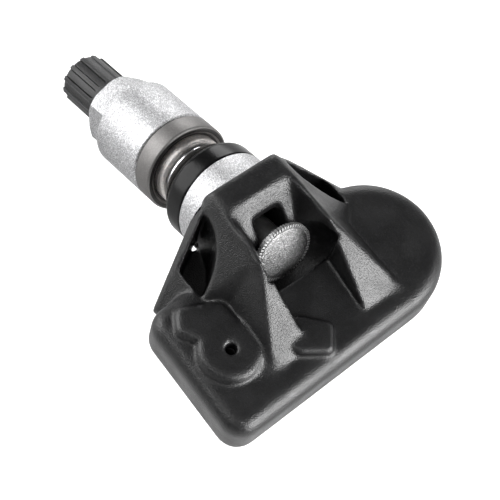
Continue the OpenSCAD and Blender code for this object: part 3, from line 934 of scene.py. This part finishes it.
@dataclass
class DomedBolt:
    """The hollow bolt with its serrated rim.

    Attributes:
        rim_r: radius over the serrations.
        root_r: radius between the serrations.
        slack: how far outside that radius a point may lie and stay.
        painted_light_band: how far inside it the rim's lighter finish reaches; the lighter finish
            is painted light.
        rim_front: where the rim's front face stands along the valve.
        shank_gap: how far in front of that face the shank's finish starts.
        teeth: number of serrations.
        tooth_width: width of a serration.
        tooth_length: length of a serration along the valve.
        tooth_centre: how far behind the rim's front face its middle lies.
        tooth_root: how deep it stands in the rim.
    """

    rim_r: float = 5.45
    root_r: float = 4.88
    slack: float = 0.05
    painted_light_band: float = 0.03
    rim_front: float = -15.6
    shank_gap: float = 0.25
    teeth: int = 60
    tooth_width: float = 0.3
    tooth_length: float = 0.7
    tooth_centre: float = 0.375
    tooth_root: float = 0.1

    def build(self, finishes: Finishes) -> None:
        """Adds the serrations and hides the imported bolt.

        Args:
            finishes: the materials.
        """
        mesh = merged_mesh("retaining_bolt", "domed_bolt")
        for vert in mesh.vertices:
            off = valve_place(vert.co)[1]
            if off.length > (self.root_r + self.slack) * MM:
                vert.co += off * (self.root_r * MM / off.length - 1)
        soften(mesh, angle=28)
        bolt = link_new("bolt_blank", mesh)
        depth = self.rim_r - self.root_r + self.tooth_root
        ring_tree().apply(bolt, {
            "Count": self.teeth, "Radius": (self.rim_r - depth / 2) * MM,
            "Station": (self.rim_front - self.tooth_centre) * MM, "Width": self.tooth_width * MM,
            "Depth": depth * MM, "Length": self.tooth_length * MM,
            "Material": finishes["bolt_metal"]})
        piece = baked(bolt, "domed_bolt")
        first = len(piece.data.materials)
        piece.data.materials.append(finishes["shank_steel"])
        piece.data.materials.append(finishes["rim_steel_painted_light"])
        for polygon in piece.data.polygons:
            s, off = valve_place(polygon.center)
            if s > self.rim_front + self.shank_gap:
                polygon.material_index = first
            # The rim gets the lighter steel: painted light
            elif off.length > (self.root_r - self.painted_light_band) * MM:
                polygon.material_index = first + 1
        settle(piece, Body.VALVE, "retaining_bolt")


def eased(value: float, start: float, end: float) -> float:
    """A step from 0 to 1 with soft ends.

    Args:
        value: where on the step.
        start: where it leaves 0.
        end: where it reaches 1.

    Returns:
        The height of the step there.
    """
    t = min(1.0, max(0.0, (value - start) / (end - start)))
    return t * t * (3 - 2 * t)


@dataclass
class FlutedCap:
    """The black cap: sunk panels between narrow ribs, and a round dimple at the end of each rib.

    Attributes:
        outer: radius over the ribs.
        bore: radius of the bore.
        start: where the cap starts along the valve.
        end: where the cap ends.
        bore_end: where the bore ends.
        inset: how far the open end's edge is rounded.
        plain: how far from the bore and the open end nothing is cut.
        chamfer: size of the chamfer at the closed end.
        knee: where the chamfer changes its slope, as a share of its size.
        sink: how far the middle of the closed end lies below its edge.
        flat_edge: how far inside the bore's radius that middle ends.
        ribs: number of ribs.
        first_rib: angle of the first rib in degrees.
        panel_half: half the width of a sunk panel.
        panel_start: where the panels start.
        panel_depth: depth of a panel.
        panel_edge: width of the slope round a panel.
        line_depth: further depth of the thin line round a panel.
        line_half: half the width of that line.
        dimple_at: where the dimples sit.
        dimple_r: radius of a dimple.
        dimple_depth: depth of a dimple.
        fine_row: step of the mesh over the dimples and the panels' round ends.
        fine_length: how far past the panels' start the fine rows reach.
        coarse_row: step of the mesh on the rest.
        last_row: how near to the chamfer the last row may start.
        steps: steps of the mesh from rib to rib.
    """

    outer: float = 4.78
    bore: float = 3.95
    start: float = 30.8
    end: float = 42.05
    bore_end: float = 41.0
    inset: float = 0.12
    plain: float = 0.2
    chamfer: float = 0.35
    knee: float = 0.3
    sink: float = 0.02
    flat_edge: float = 0.4
    ribs: int = 12
    first_rib: float = 5.0
    panel_half: float = 0.86
    panel_start: float = 33.0
    panel_depth: float = 0.28
    panel_edge: float = 0.16
    line_depth: float = 0.22
    line_half: float = 0.1
    dimple_at: float = 32.2
    dimple_r: float = 0.4
    dimple_depth: float = 0.5
    fine_row: float = 0.09
    fine_length: float = 1.3
    coarse_row: float = 0.9
    last_row: float = 0.5
    steps: int = 32

    def relief(self, angle: float, radius: float, station: float) -> float:
        """Cuts the panels, their edge lines and the dimples.

        Args:
            angle: angle round the valve axis.
            radius: radius before the cut.
            station: distance along the valve.

        Returns:
            The radius after the cut.
        """
        if radius < self.bore + self.plain or station < self.start + self.plain:
            return radius
        step = 2 * math.pi / self.ribs
        off = (angle - math.radians(self.first_rib) + step / 2) % step - step / 2
        across = (step / 2 - abs(off)) * self.outer
        along = station - self.panel_start - self.panel_half
        inside = self.panel_half - (math.hypot(across, along) if along < 0 else across)
        line = max(0.0, 1 - abs(inside - self.line_half) / self.line_half)
        cut = self.panel_depth * eased(inside, 0.0, self.panel_edge) + self.line_depth * line
        hole = math.hypot(off * self.outer, station - self.dimple_at)
        slope = eased(hole, self.dimple_r - self.line_half, self.dimple_r)
        cut = max(cut, self.dimple_depth * (1 - slope))
        return radius - cut

    def build(self, finishes: Finishes) -> None:
        """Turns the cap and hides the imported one.

        Args:
            finishes: the materials.
        """
        rows = [self.start + self.inset]
        while rows[-1] < self.end - self.chamfer - self.last_row:
            fine = rows[-1] < self.panel_start + self.fine_length
            rows.append(rows[-1] + (self.fine_row if fine else self.coarse_row))
        knee, top = self.chamfer * self.knee, self.end - self.sink
        section = [(self.bore, self.start), (self.outer - self.inset, self.start)]
        section += [(self.outer, s) for s in rows]
        section += [(self.outer, self.end - self.chamfer), (self.outer - knee, self.end - knee),
                    (self.outer - self.chamfer, self.end), (self.bore - self.flat_edge, top),
                    (0.0, top), (0.0, self.bore_end), (self.bore, self.bore_end)]
        piece = lathe("fluted_cap", section, self.steps * self.ribs, self.relief)
        soften(piece.data, angle=35)
        dress(piece, finishes["cap_plastic"])
        settle(piece, Body.CAP, "valve_cap")


@dataclass
class TurnedPiece:
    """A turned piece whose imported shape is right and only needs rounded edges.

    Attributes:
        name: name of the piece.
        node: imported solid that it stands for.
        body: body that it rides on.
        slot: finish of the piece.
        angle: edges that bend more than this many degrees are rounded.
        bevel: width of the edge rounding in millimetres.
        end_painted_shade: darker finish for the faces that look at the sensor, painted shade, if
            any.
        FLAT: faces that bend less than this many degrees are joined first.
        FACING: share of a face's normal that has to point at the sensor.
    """

    name: str
    node: str
    body: Body
    slot: str
    angle: float = 30.0
    bevel: float = 0.08
    end_painted_shade: str = ""
    FLAT: ClassVar[float] = 0.6
    FACING: ClassVar[float] = 0.8

    def build(self, finishes: Finishes) -> None:
        """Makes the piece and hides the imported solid.

        Args:
            finishes: the materials.
        """
        mesh = merged_mesh(self.node, self.name)
        with editing(mesh) as work:
            bmesh.ops.dissolve_limit(work, angle_limit=math.radians(self.FLAT),
                                     verts=work.verts, edges=work.edges)
        blank = link_new(f"{self.name}_blank", mesh)
        edge = blank.modifiers.new("edge", "BEVEL")
        edge.width = self.bevel * MM
        edge.segments = 2
        edge.limit_method = "ANGLE"
        edge.angle_limit = math.radians(self.angle)
        piece = baked(blank, self.name)
        soften(piece.data, angle=40)
        dress(piece, finishes[self.slot])
        # Faces that look at the sensor get the darker finish: painted shade
        if self.end_painted_shade:
            piece.data.materials.append(finishes[self.end_painted_shade])
            for polygon in piece.data.polygons:
                if polygon.normal.dot(VALVE_AXIS) < -self.FACING:
                    polygon.material_index = 1
        settle(piece, self.body, self.node)


@dataclass(frozen=True)
class InnerParts:
    """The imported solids. Those that no new piece stands for are seen as they are."""

    def build(self, finishes: Finishes) -> None:
        """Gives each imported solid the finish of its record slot.

        Args:
            finishes: the materials.
        """
        for entry in frame["record"]["subparts"]:
            dress(frame["nodes"][entry["node"]], finishes[entry["material_slot"]])
            LOG.info("%s: finish %s", entry["node"], entry["material_slot"])


@dataclass(frozen=True)
class Lamp:
    """A square soft light that looks at the object.

    Attributes:
        name: name of the light.
        towards: direction from the object to the light.
        size: side of the light in metres.
        power: power in watts.
        distance: how far away it stands, in metres.
    """

    name: str
    towards: Triple
    size: float
    power: float
    distance: float = 0.9

    def build(self) -> None:
        """Adds the light."""
        data = bpy.data.lights.new(self.name, "AREA")
        data.size = self.size
        data.energy = self.power
        made = link_new(self.name, data)
        direction = Vector(self.towards).normalized()
        made.location = direction * self.distance
        made.rotation_mode = "QUATERNION"
        made.rotation_quaternion = direction.to_track_quat("Z", "Y")


@dataclass
class Studio:
    """Pale floor, plain soft light and the camera at the photograph's angle.

    Attributes:
        floor_drop: height of the floor in millimetres.
        floor_half: half the side of the floor in metres.
        floor_grey: colour of the floor.
        floor_glow: glow that whitens the floor for the camera alone.
        sky: strength of the even sky.
        eye: place of the camera in metres.
        right: camera's right direction.
        up: camera's up direction.
        back: direction from the object to the camera.
        lens: focal length in millimetres.
        sensor: width of the camera's sensor in millimetres.
        clip: nearest and furthest distance that the camera sees, in metres.
        lamps: the lights.
    """

    floor_drop: float = -24.8
    floor_half: float = 1.5
    floor_grey: float = 0.7
    floor_glow: float = 0.75
    sky: float = 0.16
    eye: Triple = (-0.0958929, -0.0749084, 0.2523944)
    right: Triple = (0.78804705, -0.59967377, 0.1391877)
    up: Triple = (0.5133791, 0.7649334, 0.38899716)
    back: Triple = (-0.33974071, -0.23509201, 0.91066349)
    lens: float = 121.33
    sensor: float = 36.0
    clip: tuple[float, float] = (0.01, 10.0)
    lamps: tuple[Lamp, ...] = (
        Lamp("front", (0.34, -0.84, 0.42), 0.65, 18.5), Lamp("side", (-0.59, 0.42, 0.69), 0.3, 1.3),
        Lamp("back", (-0.47, 0.81, 0.32), 0.75, 7.0), Lamp("far", (0.66, 0.7, 0.2), 0.4, 2.4),
        Lamp("top", (-0.42, -0.1, 0.9), 0.3, 0.8))

    def floor(self) -> None:
        """Lays the pale floor, which looks white to the camera and keeps the shadow."""
        mesh = bpy.data.meshes.new("floor")
        with editing(mesh) as work:
            bmesh.ops.create_grid(work, x_segments=2, y_segments=2, size=self.floor_half)
        mesh.transform(Matrix.Translation((0.0, 0.0, self.floor_drop * MM)))
        pale, board, shader = new_material("pale_floor")
        path = board.add("ShaderNodeLightPath")
        side = board.add("ShaderNodeNewGeometry")
        grey = self.floor_grey
        board.feed(shader, {
            "Base Color": (grey, grey, grey, 1.0), "Roughness": 0.9, "Emission Color": WHITE,
            "Emission Strength": board.ramp(path.outputs["Is Camera Ray"], 0.0, 1.0, 0.0,
                                            self.floor_glow),
            "Alpha": board.ramp(side.outputs["Backfacing"], 0.0, 1.0, 1.0, 0.0)})
        mesh.materials.append(pale)
        link_new("floor", mesh)

    def world(self) -> None:
        """Sets an even pale sky, which looks white to the camera."""
        world = bpy.context.scene.world or bpy.data.worlds.new("studio")
        bpy.context.scene.world = world
        world.use_nodes = True
        board = NodeBoard(world.node_tree)
        path = board.add("ShaderNodeLightPath")
        board.feed(world.node_tree.nodes["Background"], {
            "Color": WHITE,
            "Strength": board.ramp(path.outputs["Is Camera Ray"], 0.0, 1.0, self.sky, 1.0)})

    def camera(self) -> None:
        """Sets the camera."""
        data = bpy.data.cameras.new("camera")
        data.lens = self.lens
        data.sensor_width = self.sensor
        data.clip_start, data.clip_end = self.clip
        made = link_new("camera", data)
        turn = Matrix((self.right, self.up, self.back)).transposed().to_4x4()
        made.matrix_world = Matrix.Translation(self.eye) @ turn
        bpy.context.scene.camera = made

    def build(self) -> None:
        """Builds the whole studio."""
        bpy.context.scene.view_settings.view_transform = "Standard"
        self.camera()
        self.floor()
        self.world()
        for lamp in self.lamps:
            lamp.build()


def main() -> None:
    """Builds the studio and every sub-assembly in order."""
    logging.basicConfig(level=logging.INFO, format="%(name)s %(message)s")
    Studio().build()
    finishes = Finishes()
    for part in (
            InnerParts(), MouldedHousing(), ThreadedStem(), RubberGrommet(), DomedBolt(),
            TurnedPiece("blasted_nut", "union_nut", Body.NUT, "valve_aluminium"),
            TurnedPiece("anodised_washer", "thrust_washer", Body.WASHER, "washer_anodised",
                        end_painted_shade="washer_end_painted_shade"),
            TurnedPiece("grit_ring", "centring_ring", Body.WASHER, "ring_grit"), FlutedCap()):
        part.build(finishes)


if __name__ == "__main__":
    main()
